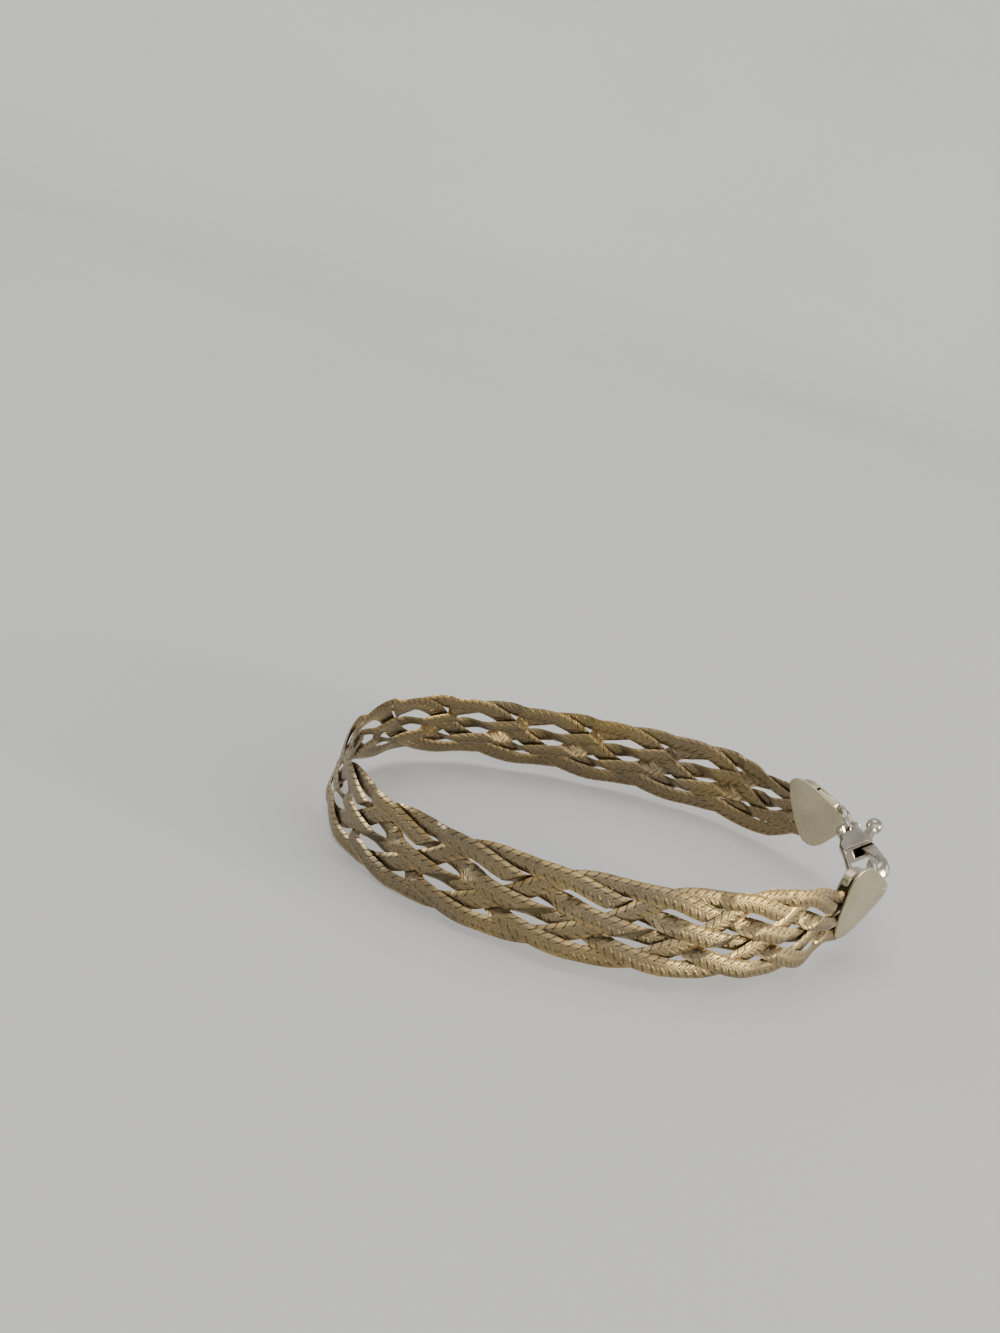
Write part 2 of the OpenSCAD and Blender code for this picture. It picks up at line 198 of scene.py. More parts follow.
def strand_point(j, f, off, z):
    """The place of a point of strand j: phase f along it, off mm across it (up) and z mm out from its middle."""
    f0, wide = f, off
    for _ in range(6):
        off = wide * np.interp(np.mod(f0, 6), width_table[:, 0], width_table[:, 1])
        f0 = f - slant_at(f0) * off
    dy = (line_at(f + 0.01) - line_at(f - 0.01)) / 0.02
    n = np.sqrt(pitch**2 + dy**2)
    return place(plait_place + (f + j) * pitch - dy / n * off, line_at(f) + pitch / n * off, height_at(f0) + z)


# ---------------------------------------------------------------- meshes
def mesh_object(name, verts, faces, material, shares=None, smooth=True, sharp=None):
    mesh = bpy.data.meshes.new(name)
    mesh.from_pydata((np.asarray(verts) * MM).tolist(), [], [tuple(int(i) for i in q) for q in faces])
    mesh.update()
    if smooth:
        mesh.shade_smooth()
        if sharp is not None:
            mesh.set_sharp_from_angle(angle=math.radians(sharp))
    for key, values in (shares or {}).items():
        attribute = mesh.attributes.new(key, "FLOAT", "POINT")
        attribute.data.foreach_set("value", np.asarray(values, np.float32))
    obj = bpy.data.objects.new(name, mesh)
    bpy.context.scene.collection.objects.link(obj)
    obj.data.materials.append(material)
    return obj


# One link: rows along it, as shares of its length, and columns across the strand, as shares of its width
link_len = 1.04
rows = np.array([0.0, 0.055, 0.12, 0.30, 0.44, 0.50, 0.56, 0.74, 0.945])
cols_top = np.array([0.488, 0.45, 0.36, 0.275, 0.245, 0.215, 0.12, 0.035, 0.0])
cols_under = np.array([0.488, 0.45, 0.36, 0.265, 0.215, 0.10, 0.0])


def face_height(u):
    """Height of a strand's face above its middle, at a share u of the width from the centre: a bevel beyond 0.26."""
    b = np.clip((u - 0.265) / 0.235, 0, 1)
    return 0.205 - 0.012 * (u / 0.26)**2 - 0.145 * b**1.1 - 0.02 * b**6


def groove_depth(r, u, under):
    """How deep the seams between links cut at row share r and column share u, in mm."""
    full = np.exp(-(np.minimum(r, 1 - r) / 0.035)**2)
    half = np.exp(-((r - 0.5) / 0.045)**2)
    edge = ease((u - 0.25) / 0.04)
    pit = np.exp(-((u - 0.24) / 0.03)**2)
    seam = np.exp(-(u / 0.025)**2)
    wide = np.exp(-(np.minimum(r, 1 - r) / 0.09)**2)
    return (edge * full * 0.045 + (1 - edge) * (full * 0.018 + half * 0.014) + pit * (0.008 + 0.085 * wide)
            + seam * (0.006 + 0.014 * half))


def strand(j, material):
    first = (band_start - grip - plait_place) / pitch - j
    last = (band_end + grip - plait_place) / pitch - j
    fine = np.linspace(first, last, 3400)
    mid = strand_point(j, fine, 0 * fine, 0 * fine)
    arc = np.concatenate([[0], np.cumsum(np.linalg.norm(np.diff(mid, axis=0), axis=1))])
    count = int(round(arc[-1] / link_len))
    step = arc[-1] / count
    share = np.concatenate([(rows[None, :] + np.arange(count)[:, None]).ravel(), [count]])
    link = np.minimum(share.astype(int), count - 1)
    r = share - np.floor(share)
    # the closed row of columns round the strand: over its face, down one edge, back under it
    u = np.concatenate([[-0.5], -cols_top, cols_top[-2::-1], [0.5], cols_under, -cols_under[-2::-1]])
    side = np.concatenate([[0], np.ones(2 * len(cols_top) - 1), [0], -np.ones(2 * len(cols_under) - 1)])
    au = np.abs(u)
    depth = groove_depth(r[:, None], au[None, :], side[None, :] < 0)
    # each link's facets are tilted a little, so that they catch the light one by one
    zone = np.where(u > 0.25, 0, np.where(u > 0, 1, np.where(u > -0.25, 2, 3)))
    tilt = rng.normal(0, 0.005, (count + 1, 4)) + 0.008
    lean = rng.normal(0, 0.005, (count + 1, 4)) * np.array([1.0, 0.6, 0.6, 1.0])
    shingle = tilt[link][:, zone] * (r - 0.5)[:, None] * np.where(side == 0, 0, 1)
    shingle = shingle + lean[link][:, zone] * (np.where(zone % 3 == 0, (au - 0.38) / 0.12, (au - 0.13) / 0.13))
    z = side * (face_height(au) - depth + np.where(side == 0, 0, shingle))
    z = np.where(side == 0, 0, z)
    inset = np.where(au > 0.4, 1 - 0.045 * np.exp(-(np.minimum(r, 1 - r) / 0.06)**2)[:, None], 1)
    off = u[None, :] * strand_w * inset
    # links point back along the strand as a V; the V fades out inside the caps
    fade = np.clip(np.minimum(share * step, arc[-1] - share * step) / 3.0, 0, 1)[:, None]
    f = np.interp(share[:, None] * step + 1.05 * np.abs(off) * fade, arc, fine)
    f = np.minimum(f, last)
    pts = strand_point(j, f, off, z)
    n, m = pts.shape[:2]
    grid = np.arange(n * m).reshape(n, m)
    a, b = grid[:-1], grid[1:]
    quads = np.stack([a, np.roll(a, -1, 1), np.roll(b, -1, 1), b], -1).reshape(-1, 4)
    faces = quads.tolist() + [grid[0, ::-1].tolist(), grid[-1].tolist()]
    # oxide sits in the grooves, and in a wider line between links on the bevels
    between = 0.52 * ease((au - 0.29) / 0.05) * np.exp(-(np.minimum(r, 1 - r) / 0.10)**2)[:, None]
    dark = np.maximum(np.clip(depth / 0.08, 0, 1), between) * np.where(side == 0, 0.5, 1)
    # the bevels are partly rubbed bright by wear and partly carry a painted highlight: the share is largest on the
    # upper bevels, which face the light, less on the lower ones and least on the under side
    bevel_wear_and_highlight = ease((au - 0.31) / 0.08) * np.where(side < 0, 0.2, np.where(u > 0, 0.7, 0.5)) + 0 * depth
    return mesh_object("herringbone_strand_%d" % (j + 1), pts.reshape(-1, 3), faces, material,
                       {"groove": dark.ravel(), "rubbed_and_highlight": bevel_wear_and_highlight.ravel()}, sharp=24)


# ---------------------------------------------------------------- distance fields, in mm
def smin(a, b, k):
    h = np.clip(0.5 + 0.5 * (b - a) / k, 0, 1)
    return b + (a - b) * h - k * h * (1 - h)


def smax(a, b, k):
    return -smin(-a, -b, k)


def polygon_distance(x, y, poly):
    """Signed distance to a closed polygon, negative inside."""
    p = np.asarray(poly, float)
    q = np.roll(p, -1, 0)
    best = np.full(x.shape, 1e9)
    inside = np.zeros(x.shape, bool)
    for (ax, ay), (bx, by) in zip(p, q):
        ex, ey = bx - ax, by - ay
        t = np.clip(((x - ax) * ex + (y - ay) * ey) / (ex * ex + ey * ey + 1e-12), 0, 1)
        best = np.minimum(best, (x - ax - t * ex)**2 + (y - ay - t * ey)**2)
        crosses = (ay > y) != (by > y)
        with np.errstate(divide="ignore", invalid="ignore"):
            inside ^= crosses & (x < ax + (y - ay) * ex / np.where(ey == 0, 1e-12, ey))
    return np.where(inside, -1, 1) * np.sqrt(best)


def box2(x, y, cx, cy, hx, hy):
    dx, dy = np.abs(x - cx) - hx, np.abs(y - cy) - hy
    return np.hypot(np.maximum(dx, 0), np.maximum(dy, 0)) + np.minimum(np.maximum(dx, dy), 0)


def slab(d2, z, half, r):
    """A flat shape of 2-D distance d2 given thickness 2*half, its edges rounded by r."""
    a, b = d2 + r, np.abs(z) - (half - r)
    return np.hypot(np.maximum(a, 0), np.maximum(b, 0)) + np.minimum(np.maximum(a, b), 0) - r


def skin(field, lo, hi, step):
    """Surface nets: vertices (mm) and quads of the zero surface of field(x, y, z), pulled onto it."""
    axes = [np.arange(l, h + step, step) for l, h in zip(lo, hi)]
    g = np.meshgrid(*axes, indexing="ij")
    v = field(g[0], g[1], g[2]).astype(np.float32)
    inside = v < 0
    shape = np.array(v.shape) - 1
    total = np.zeros(tuple(shape) + (3,), np.float32)
    count = np.zeros(tuple(shape), np.float32)
    corners = [(i, j, k) for i in (0, 1) for j in (0, 1) for k in (0, 1)]
    cut = lambda arr, c: arr[c[0]:c[0] + shape[0], c[1]:c[1] + shape[1], c[2]:c[2] + shape[2]]
    for ca in corners:
        for axis in range(3):
            if ca[axis]:
                continue
            cb = tuple(1 if n == axis else ca[n] for n in range(3))
            hit = cut(inside, ca) != cut(inside, cb)
            va, vb = cut(v, ca)[hit], cut(v, cb)[hit]
            p = np.tile(np.array(ca, np.float32), (len(va), 1))
            p[:, axis] += va / (va - vb)
            total[hit] += p
            count[hit] += 1
    cells = np.argwhere(count > 0)
    index = np.full(tuple(shape), -1, np.int64)
    index[tuple(cells.T)] = np.arange(len(cells))
    p = (cells + total[tuple(cells.T)] / count[tuple(cells.T)][:, None]) * step + np.array([a[0] for a in axes])
    quads = []
    for axis in range(3):
        b, c = (axis + 1) % 3, (axis + 2) % 3
        n = [slice(1, -1)] * 3
        n[axis] = slice(0, -1)
        m = list(n)
        m[axis] = slice(1, None)
        va, vb = inside[tuple(n)], inside[tuple(m)]
        at = np.argwhere(va != vb) + np.array([0 if k == axis else 1 for k in range(3)])
        eb, ec = np.eye(3, dtype=int)[b], np.eye(3, dtype=int)[c]
        q = np.stack([index[tuple((at - eb - ec).T)], index[tuple((at - ec).T)], index[tuple(at.T)],
                      index[tuple((at - eb).T)]], -1)
        flip = ~va[va != vb]
        q[flip] = q[flip][:, ::-1]
        quads.append(q)
    e = step * 0.05
    for _ in range(3):
        d = field(p[:, 0], p[:, 1], p[:, 2])
        grad = np.stack([(field(p[:, 0] + (e if k == 0 else 0), p[:, 1] + (e if k == 1 else 0), p[:, 2] + (e if k == 2 else 0)) - d) / e
                         for k in range(3)], -1)
        grad = grad / np.maximum(dot(grad, grad), 0.3)[:, None]
        p = p - np.clip(0.7 * d[:, None] * grad, -step * 0.35, step * 0.35)
    return p, np.concatenate(quads)


def put(points, f):
    return f[0] + points[:, :1] * f[1] + points[:, 1:2] * f[2] + points[:, 2:] * f[3]


def at(s):
    return [np.array(v, float) for v in band_frame(s)]


fa, fb = at(band_end + lead), at(band_start - lead)
frame_a = fa
frame_b = [fb[0], -fb[1], fb[2], -fb[3]]

# ---------------------------------------------------------------- end caps
cap_table = [[-0.75, 0], [-0.7, 0.35], [-0.37, 0.72], [0, 0.9], [0.9, 1], [2, 0.99], [3.3, 0.87], [4.6, 0.69],
             [5.9, 0.48], [6.9, 0.3], [7.5, 0.17], [7.7, 0]]


def round_ring(p, per):
    p = np.asarray(p, float)
    a, b, c, d = np.roll(p, 1, 0), p, np.roll(p, -1, 0), np.roll(p, -2, 0)
    out = []
    for k in range(per):
        u = k / per
        out.append(b + 0.5 * u * (c - a + u * (2 * a - 5 * b + 4 * c - d + u * (3 * (b - c) + d - a))))
    return np.stack(out, 1).reshape(-1, 2)


cap_ring = round_ring([[x, w * cap_w / 2] for x, w in cap_table] + [[x, -w * cap_w / 2] for x, w in cap_table[-2:0:-1]], 6)


def cap_field(x, y, z, rim_from):
    """A plate on each side, a block and a barrel eye between them, and the second plate's thick rounded rim."""
    if x.ndim == 3:
        d2 = polygon_distance(x[:, :, 0], y[:, :, 0], cap_ring)[:, :, None] + 0 * z
        lower = polygon_distance(x[:, :, 0], y[:, :, 0] + cap_fold, cap_ring)[:, :, None] + 0 * z
    else:
        d2 = polygon_distance(x, y, cap_ring)
        lower = polygon_distance(x, y + cap_fold, cap_ring)
    # the plates are softly domed: their rims dip towards the strands
    inner = np.maximum(-d2, 0)
    plate_z = (cap_t - plate_t) / 2 - 0.10 + 0.09 * (1 - np.exp(-(inner / 1.3)**2)) - 0.04 * np.exp(-(inner / 0.35)**2)
    back = smax(d2, lower, 0.3)
    plates = np.minimum(slab(d2, z - plate_z, plate_t / 2, 0.11), slab(back, z + plate_z, plate_t / 2, 0.11))
    # the rim stops short of the front plate, so that a dark line shows between them
    strip = smax(smax(back, rim_from - y, 0.1), np.maximum(x - 4.1, -0.3 - x), 0.1)
    rim_lo, rim_hi = -cap_t / 2 + 0.06, cap_t / 2 - plate_t - rim_gap - 0.1
    rim = slab(strip, z - (rim_lo + rim_hi) / 2, (rim_hi - rim_lo) / 2, 0.4)
    body = smin(plates, rim, 0.05)
    tip = box2(x, y, cap_slot + 1.3, 0, 1.3, 2.9 - 0.55 * np.clip(x - cap_slot, 0, 4))
    block = slab(tip, z, cap_t / 2 - 0.12, 0.1)
    body = smin(body, block, 0.12)
    axle = np.hypot(x - cap_eye, z)
    barrel = slab(axle - cap_t / 2, y, 0.6, 0.16)
    body = smin(body, barrel, 0.14)
    return smax(body, -np.maximum(axle - (cap_t - 0.4) / 2, np.abs(y) - 1.0), 0.1)


# ---------------------------------------------------------------- rings and clasp
eye_a = frame_a[0] + cap_eye * frame_a[1]
eye_b = frame_b[0] + cap_eye * frame_b[1]


def ring_frame(eye, up, other, turn):
    v = other - eye
    x = unit(v - dot(v, up) * up)
    return turned([eye + ring_r * x, x, up, np.cross(x, up)], 1, -turn)


ring_a, ring_b = ring_frame(eye_a, frame_a[2], eye_b, ring_turn), ring_frame(eye_b, frame_b[2], eye_a, 0.0)
span = float(np.linalg.norm(ring_b[0] - ring_a[0]))
clasp_x = unit(ring_b[0] - ring_a[0])
clasp_up = unit(np.array([0, 0, 1.0]) - clasp_x[2] * clasp_x)
clasp_frame = turned([ring_a[0], clasp_x, clasp_up, np.cross(clasp_x, clasp_up)], 1, clasp_roll)
nose_in = ring_r - ring_wire / 2 - 0.9
hook_r = 1.55
mouth_x = nose_in + hook_r + 0.8
nose_x = nose_in - 0.85 + nose_r
tail_x = span - ring_r
pivot = np.array([tail_x - 3.9, 0.6])
slot_t = 1.16
lever_t = slot_t - 2 * lever_gap
root_r = 1.15


def jump_ring(name, f, material, cut):
    """A round wire ring with the fine cut where it was closed."""
    n, m = 132, 28
    a = np.linspace(0.012, 2 * np.pi - 0.012, n) + cut
    b = np.linspace(0, 2 * np.pi, m, endpoint=False)
    # the wire's ends are filed round at the cut
    end = np.minimum(np.arange(n), np.arange(n)[::-1])
    r = ring_wire / 2 * np.where(end == 0, 0.80, np.where(end == 1, 0.95, 1.0))
    rad = ring_r + r[:, None] * np.cos(b)[None, :]
    pts = np.stack([rad * np.cos(a)[:, None], rad * np.sin(a)[:, None], r[:, None] * np.sin(b)[None, :] + 0 * rad], -1)
    grid = np.arange(n * m).reshape(n, m)
    p, q = grid[:-1], grid[1:]
    quads = np.stack([p, q, np.roll(q, -1, 1), np.roll(p, -1, 1)], -1).reshape(-1, 4)
    faces = quads.tolist() + [grid[0].tolist(), grid[-1, ::-1].tolist()]
    return mesh_object(name, put(pts.reshape(-1, 3), f), faces, material, sharp=40)


def clasp_field(x, y, z):
    # outline: nose, belly and the drawn-in neck to the tail's eye
    d = np.hypot(x - nose_x, y) - nose_r
    neck = tail_x - 4.4
    t = np.clip((x - nose_x) / (neck - nose_x), 0, 1)
    belly = (np.hypot(x - nose_x - t * (neck - nose_x), y) - (nose_r + t * (1.9 - nose_r)))
    d = np.minimum(d, belly)
    t = np.clip((x - neck) / (tail_x - neck), 0, 1)
    taper = np.hypot(x - neck - t * (tail_x - neck), y) - (1.9 + t * (1.1 - 1.9))
    d = smin(d, taper, 0.5)
    body = slab(d + 0.01, z, clasp_t / 2, 0.85)
    # the tail's eye is a thinner ring
    body = np.where(x > tail_x - 2.4, smax(body, np.abs(z) - (0.5 + 0.9 * ease((tail_x - 1.5 - x) / 0.9)), 0.1), body)
    rim = slab(np.hypot(x - tail_x, y) - eye_r + 0.01, z, 0.5, 0.3)
    body = smin(body, rim, 0.15)
    # room for the ring, open to the top between the hook's end and the lever
    room = np.hypot(x - nose_in - hook_r, y) - hook_r
    end = pivot[0] - root_r - 0.8
    room = np.minimum(room, box2(x, y, (nose_in + hook_r + end) / 2, 0, (end - nose_in - hook_r) / 2, hook_r - 0.02))
    room = np.minimum(room, box2(x, y, (mouth_x + end) / 2, 3, (end - mouth_x) / 2, 3))
    body = smax(body, -room, 0.22)
    slot = np.maximum(box2(x, y, pivot[0] + 1.05, pivot[1] - root_r - 0.15 + 3, root_r + 2.05, 3), np.abs(z) - slot_t / 2)
    body = smax(body, -slot, 0.05)
    body = smax(body, -(np.hypot(x - tail_x, y) - eye_bore / 2), 0.16)
    pin = np.hypot(x - pivot[0], y - pivot[1])
    pin_body = slab(pin - pin_d / 2, z, clasp_t / 2 - 0.05, 0.05)
    return np.minimum(body, pin_body)


def lever_field(x, y, z):
    """In the clasp's frame; the lever is at rest, closing the opening."""
    px, py = x - pivot[0], y - pivot[1]
    arm = pivot[0] - mouth_x - 0.15
    root = np.hypot(px, py) - root_r
    closer = polygon_distance(px, py, [[0.2, root_r - 0.02], [-arm + 0.2, nose_r - pivot[1] - 0.1],
                                       [-arm, nose_r - pivot[1] - 0.95], [-0.9, -0.7], [0, -0.2]])
    thumb = polygon_distance(px, py, [[-0.7, 0.8], [0.9, 0.2], [3.1, 2.1], [2.4, 2.5]])
    flat = smin(np.minimum(root, closer), thumb, 0.25)
    body = slab(flat, z, lever_t / 2, 0.2)
    nub = np.sqrt((px - 2.7)**2 + (py - 2.3)**2 + (z / 1.02)**2) - 0.95
    body = smin(body, nub, 0.18)
    return smax(body, -(np.hypot(px, py) - pin_d / 2 - lever_gap), 0.06)


# ---------------------------------------------------------------- materials
def node_material(name):
    mat = bpy.data.materials.new(name)
    mat.use_nodes = True
    tree = mat.node_tree
    return mat, tree.nodes, tree.links, tree.nodes["Principled BSDF"]


def srgb(r, g, b):
    out = []
    for c in (r, g, b):
        c /= 255
        out.append(c / 12.92 if c <= 0.04045 else ((c + 0.055) / 1.055)**2.4)
    return (*out, 1.0)


def herringbone_material():
    mat, nodes, links, bsdf = node_material("herringbone_silver")
    bsdf.inputs["Metallic"].default_value = 1.0
    coord = nodes.new("ShaderNodeTexCoord")

    def noise(scale, detail, rough=0.5):
        n = nodes.new("ShaderNodeTexNoise")
        n.inputs["Scale"].default_value = scale
        n.inputs["Detail"].default_value = detail
        n.inputs["Roughness"].default_value = rough
        links.new(coord.outputs["Object"], n.inputs["Vector"])
        return n

    def ramp(source, stops):
        r = nodes.new("ShaderNodeValToRGB")
        while len(r.color_ramp.elements) < len(stops):
            r.color_ramp.elements.new(0.5)
        for e, (pos, colour) in zip(r.color_ramp.elements, stops):
            e.position, e.color = pos, colour
        links.new(source, r.inputs["Fac"])
        return r

    def mix(kind, fac, a, b):
        m = nodes.new("ShaderNodeMix")
        m.data_type, m.blend_type = "RGBA", kind
        if isinstance(fac, float):
            m.inputs[0].default_value = fac
        else:
            links.new(fac, m.inputs[0])
        links.new(a, m.inputs[6])
        if isinstance(b, tuple):
            m.inputs[7].default_value = b
        else:
            links.new(b, m.inputs[7])
        return m.outputs[2]

    tone = ramp(noise(130, 3).outputs["Fac"], [(0.34, srgb(134, 120, 98)), (0.5, srgb(142, 127, 100)), (0.66, srgb(149, 132, 98))])
    warm = ramp(noise(45, 2).outputs["Fac"], [(0.50, (0, 0, 0, 1)), (0.74, (1, 1, 1, 1))])
    golden = mix("MIX", warm.outputs["Color"], tone.outputs["Color"], srgb(158, 135, 86))
    speck = ramp(noise(5200, 2, 0.6).outputs["Fac"], [(0.36, srgb(170, 162, 150)), (0.54, (1, 1, 1, 1))])
    flecks_and_highlight = mix("MULTIPLY", 0.55, golden, speck.outputs["Color"])
    # the bevels' cream colour is partly rubbed wear and partly a painted highlight, laid on most thickly at the upper
    # bevels that face the light
    rubbed_and_highlight = nodes.new("ShaderNodeAttribute")
    rubbed_and_highlight.attribute_name = "rubbed_and_highlight"
    patchy = ramp(noise(210, 2).outputs["Fac"], [(0.40, (0.2, 0.2, 0.2, 1)), (0.58, (0.95, 0.95, 0.95, 1))])
    wear_and_highlight_amount = nodes.new("ShaderNodeMath")
    wear_and_highlight_amount.operation = "MULTIPLY"
    links.new(rubbed_and_highlight.outputs["Fac"], wear_and_highlight_amount.inputs[0])
    links.new(patchy.outputs["Color"], wear_and_highlight_amount.inputs[1])
    # painted highlight: the cream colour mixed onto the bevels, partly standing for rubbed wear
    flecks_and_highlight = mix("MIX", wear_and_highlight_amount.outputs[0], flecks_and_highlight, srgb(213, 182, 122))
    groove = nodes.new("ShaderNodeAttribute")
    groove.attribute_name = "groove"
    oxide = ramp(groove.outputs["Fac"], [(0.16, (0, 0, 0, 1)), (0.85, (1, 1, 1, 1))])
    colour = mix("MIX", oxide.outputs["Color"], flecks_and_highlight, srgb(66, 57, 46))
    links.new(colour, bsdf.inputs["Base Color"])
    rough = nodes.new("ShaderNodeMapRange")
    rough.inputs["To Min"].default_value, rough.inputs["To Max"].default_value = 0.33, 0.44
    links.new(noise(900, 3).outputs["Fac"], rough.inputs["Value"])
    smoother = nodes.new("ShaderNodeMath")
    smoother.operation = "MULTIPLY_ADD"
    smoother.inputs[1].default_value = -0.17
    links.new(rubbed_and_highlight.outputs["Fac"], smoother.inputs[0])
    links.new(rough.outputs["Result"], smoother.inputs[2])
    links.new(smoother.outputs[0], bsdf.inputs["Roughness"])
    bump = nodes.new("ShaderNodeBump")
    bump.inputs["Strength"].default_value = 0.35
    bump.inputs["Distance"].default_value = 0.00002
    links.new(noise(9000, 3, 0.6).outputs["Fac"], bump.inputs["Height"])
    links.new(bump.outputs["Normal"], bsdf.inputs["Normal"])
    return mat


def polished_material(name, base, dark, rough_lo, rough_hi, bump_strength):
    mat, nodes, links, bsdf = node_material(name)
    bsdf.inputs["Metallic"].default_value = 1.0
    coord = nodes.new("ShaderNodeTexCoord")
    tone = nodes.new("ShaderNodeTexNoise")
    tone.inputs["Scale"].default_value, tone.inputs["Detail"].default_value = 260, 4
    links.new(coord.outputs["Object"], tone.inputs["Vector"])
    ramp = nodes.new("ShaderNodeValToRGB")
    ramp.color_ramp.elements[0].position, ramp.color_ramp.elements[0].color = 0.35, dark
    ramp.color_ramp.elements[1].position, ramp.color_ramp.elements[1].color = 0.60, base
    links.new(tone.outputs["Fac"], ramp.inputs["Fac"])
    links.new(ramp.outputs["Color"], bsdf.inputs["Base Color"])
    # fine scratches of wear: noise drawn out along one way
    stretch = nodes.new("ShaderNodeMapping")
    stretch.inputs["Scale"].default_value = (500, 4200, 4200)
    stretch.inputs["Rotation"].default_value = (0.3, 0.2, 0.6)
    links.new(coord.outputs["Object"], stretch.inputs["Vector"])
    scratch = nodes.new("ShaderNodeTexNoise")
    scratch.inputs["Scale"].default_value, scratch.inputs["Detail"].default_value = 1.0, 3
    links.new(stretch.outputs["Vector"], scratch.inputs["Vector"])
    rough = nodes.new("ShaderNodeMapRange")
    rough.inputs["To Min"].default_value, rough.inputs["To Max"].default_value = rough_lo, rough_hi
    links.new(scratch.outputs["Fac"], rough.inputs["Value"])
    links.new(rough.outputs["Result"], bsdf.inputs["Roughness"])
    bump = nodes.new("ShaderNodeBump")
    bump.inputs["Strength"].default_value = bump_strength
    bump.inputs["Distance"].default_value = 0.00001
    links.new(scratch.outputs["Fac"], bump.inputs["Height"])
    links.new(bump.outputs["Normal"], bsdf.inputs["Normal"])
    return mat


silver_links = herringbone_material()
silver_cap = polished_material("polished_silver_cap", srgb(193, 183, 155), srgb(180, 170, 142), 0.22, 0.34, 0.25)
silver_clasp = polished_material("polished_silver_clasp", srgb(196, 189, 176), srgb(166, 158, 144), 0.12, 0.22, 0.2)

# ---------------------------------------------------------------- the pieces
for j in range(6):
    piece = strand(j, silver_links)
    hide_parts("strand_%d" % (j + 1))
    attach(piece, "band")

cap_step = 0.075
for name, f, rim_from in (("end_cap_a", frame_a, 2.1), ("end_cap_b", frame_b, 3.1)):
    p, q = skin(lambda x, y, z: cap_field(x, y, z, rim_from), (-1.1, -4.8, -1.5), (8.3, 4.8, 1.5), cap_step)
    piece = mesh_object("polished_" + name, put(p, f), q, silver_cap)
    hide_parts(name)
    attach(piece, "band")

for name, f, cut in (("link_ring_a", ring_a, 1.2), ("link_ring_b", ring_b, 2.0)):
    piece = jump_ring("round_" + name, f, silver_clasp, cut)
    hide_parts(name)
    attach(piece, "band")

p, q = skin(clasp_field, (nose_x - nose_r - 0.3, -2.8, -1.4), (tail_x + eye_r + 0.3, 2.8, 1.4), 0.07)
piece = mesh_object("lobster_clasp_body", put(p, clasp_frame), q, silver_clasp)
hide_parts("clasp_body")
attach(piece, "band")

p, q = skin(lever_field, (mouth_x - 0.3, -1.0, -1.4), (pivot[0] + 4.0, pivot[1] + 3.6, 1.4), 0.06)
piece = mesh_object("lobster_clasp_lever", put(p, clasp_frame), q, silver_clasp)
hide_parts("clasp_lever")
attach(piece, "lever")


# ---------------------------------------------------------------- floor, light and camera
def floor():
    """A pale sweep: flat under the bracelet and rising softly far behind it, open to the light in front."""
    n = 60
    verts, faces = [], []
    t = np.linspace(-1, 1, n)
    for yy in t:
        for xx in t:
            x, y = xx * 1.6, yy * 1.6
            away = 0.435 * x + 0.90 * y
            verts.append((x, y, FLOOR_Z + 0.9 * max(0.0, (away - 0.8) / 0.8)**2))
    for i in range(n - 1):
        for k in range(n - 1):
            a = i * n + k
            faces.append((a, a + 1, a + n + 1, a + n))
    mesh = bpy.data.meshes.new("floor")
    mesh.from_pydata(verts, [], faces)
    mesh.shade_smooth()
    obj = bpy.data.objects.new("floor", mesh)
    bpy.context.scene.collection.objects.link(obj)
    mat, nodes, links, bsdf = node_material("pale_floor")
    bsdf.inputs["Roughness"].default_value = 0.75
    noise = nodes.new("ShaderNodeTexNoise")
    noise.inputs["Scale"].default_value = 6
    ramp = nodes.new("ShaderNodeValToRGB")
    ramp.color_ramp.elements[0].color, ramp.color_ramp.elements[1].color = srgb(212, 213, 213), srgb(220, 221, 220)
    coord = nodes.new("ShaderNodeTexCoord")
    links.new(coord.outputs["Object"], noise.inputs["Vector"])
    links.new(noise.outputs["Fac"], ramp.inputs["Fac"])
    links.new(ramp.outputs["Color"], bsdf.inputs["Base Color"])
    obj.data.materials.append(mat)


FLOOR_Z = -0.0056
floor()

world = bpy.data.worlds.new("studio")
world.use_nodes = True
wn, wl = world.node_tree.nodes, world.node_tree.links
coord = wn.new("ShaderNodeTexCoord")
split = wn.new("ShaderNodeSeparateXYZ")
wl.new(coord.outputs["Generated"], split.inputs["Vector"])
ramp = wn.new("ShaderNodeValToRGB")
stops = [(0.0, 0.28), (0.14, 0.32), (0.40, 0.45), (1.0, 0.76)]
while len(ramp.color_ramp.elements) < len(stops):
    ramp.color_ramp.elements.new(0.5)
for e, (pos, v) in zip(ramp.color_ramp.elements, stops):
    e.position, e.color = pos, (v, 0.99 * v, 0.98 * v, 1)
wl.new(split.outputs["Z"], ramp.inputs["Fac"])
# a long soft strip light above the front, as a raised window would give
strip = wn.new("ShaderNodeValToRGB")
strip.color_ramp.interpolation = "EASE"
stops = [(0.0, 0.35), (0.10, 1.0), (0.52, 1.0), (0.68, 0.0)]
while len(strip.color_ramp.elements) < len(stops):
    strip.color_ramp.elements.new(0.5)
for e, (pos, v) in zip(strip.color_ramp.elements, stops):
    e.position, e.color = pos, (v, v, v, 1)
wl.new(split.outputs["Z"], strip.inputs["Fac"])
toward = wn.new("ShaderNodeVectorMath")
toward.operation = "DOT_PRODUCT"
toward.inputs[1].default_value = (-0.10, -0.995, 0)
wl.new(coord.outputs["Generated"], toward.inputs[0])
front = wn.new("ShaderNodeMapRange")
front.inputs["From Min"].default_value, front.inputs["From Max"].default_value = 0.2, 0.85
front.inputs["To Min"].default_value, front.inputs["To Max"].default_value = 0.12, 1.0
wl.new(toward.outputs["Value"], front.inputs["Value"])
scale = wn.new("ShaderNodeMath")
scale.operation = "MULTIPLY"
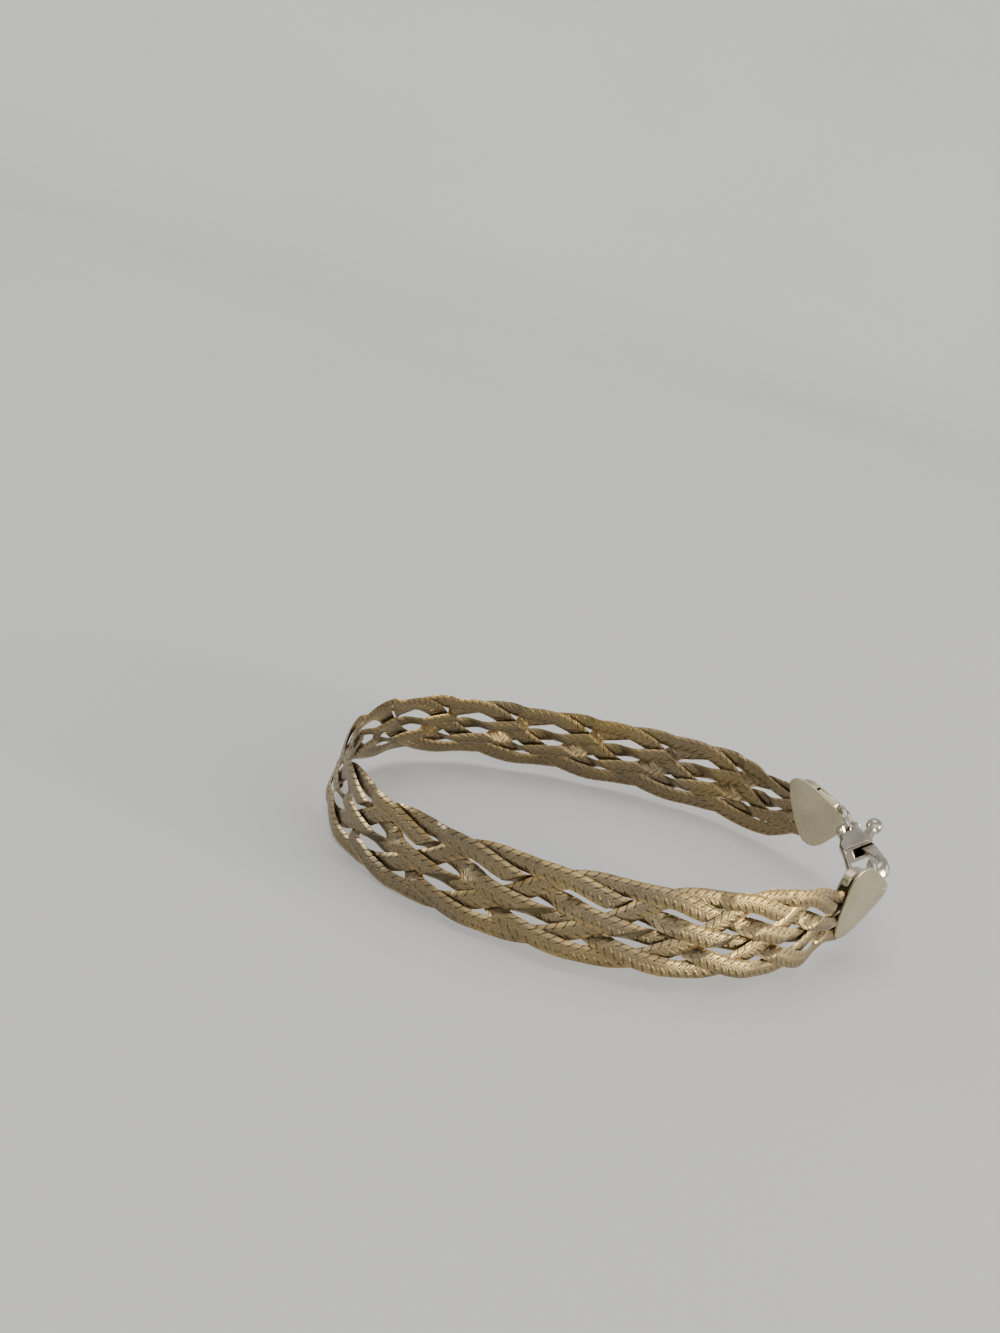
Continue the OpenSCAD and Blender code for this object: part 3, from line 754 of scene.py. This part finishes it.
wl.new(strip.outputs["Color"], scale.inputs[0])
wl.new(front.outputs["Result"], scale.inputs[1])
gain = wn.new("ShaderNodeMath")
gain.operation = "MULTIPLY_ADD"
gain.inputs[1].default_value, gain.inputs[2].default_value = 3.1, 1.0
wl.new(scale.outputs[0], gain.inputs[0])
wl.new(ramp.outputs["Color"], wn["Background"].inputs["Color"])
wl.new(gain.outputs[0], wn["Background"].inputs["Strength"])
bpy.context.scene.world = world


def area(name, place_at, look_at, size, power, colour=(1, 1, 1)):
    light = bpy.data.lights.new(name, "AREA")
    light.shape, light.size, light.energy, light.color = "DISK", size, power, colour
    obj = bpy.data.objects.new(name, light)
    obj.location = place_at
    obj.rotation_mode = "QUATERNION"
    obj.rotation_quaternion = (Vector(look_at) - Vector(place_at)).to_track_quat("-Z", "Y")
    bpy.context.scene.collection.objects.link(obj)


def sun(name, come_from, angle, power, colour=(1, 1, 1)):
    light = bpy.data.lights.new(name, "SUN")
    light.angle, light.energy, light.color = math.radians(angle), power, colour
    obj = bpy.data.objects.new(name, light)
    obj.rotation_mode = "QUATERNION"
    obj.rotation_quaternion = (-Vector(come_from)).to_track_quat("-Z", "Y")
    bpy.context.scene.collection.objects.link(obj)


sun("overhead", (-0.15, 0.10, 1.0), 50, 0.7)
area("window", (0.62, -0.03, 0.10), (0, 0, 0), 0.26, 0.3, (1.0, 0.94, 0.80))
area("left", (-0.50, 0.28, 0.06), (0, 0, 0), 0.16, 0.5, (0.97, 0.98, 1.0))
area("warm", (0.47, -0.38, 0.01), (0.01, -0.02, 0), 0.28, 5.7, (1.0, 0.88, 0.58))

camera = bpy.data.cameras.new("camera")
camera.sensor_fit, camera.sensor_width = "AUTO", 36.0
camera.lens = 1800 / 1333 * 36.0
camera.clip_start, camera.clip_end = 0.005, 20
cam = bpy.data.objects.new("camera", camera)
right, up, forward = Vector((0.89877, -0.35967, 0.25072)), Vector((-0.12474, 0.33843, 0.93269)), Vector((0.42031, 0.86954, -0.25931))
cam.matrix_world = Matrix((
    (right.x, up.x, -forward.x, -0.09895),
    (right.y, up.y, -forward.y, -0.16700),
    (right.z, up.z, -forward.z, 0.06648),
    (0, 0, 0, 1)))
bpy.context.scene.collection.objects.link(cam)
bpy.context.scene.camera = cam

bpy.context.view_layer.update()
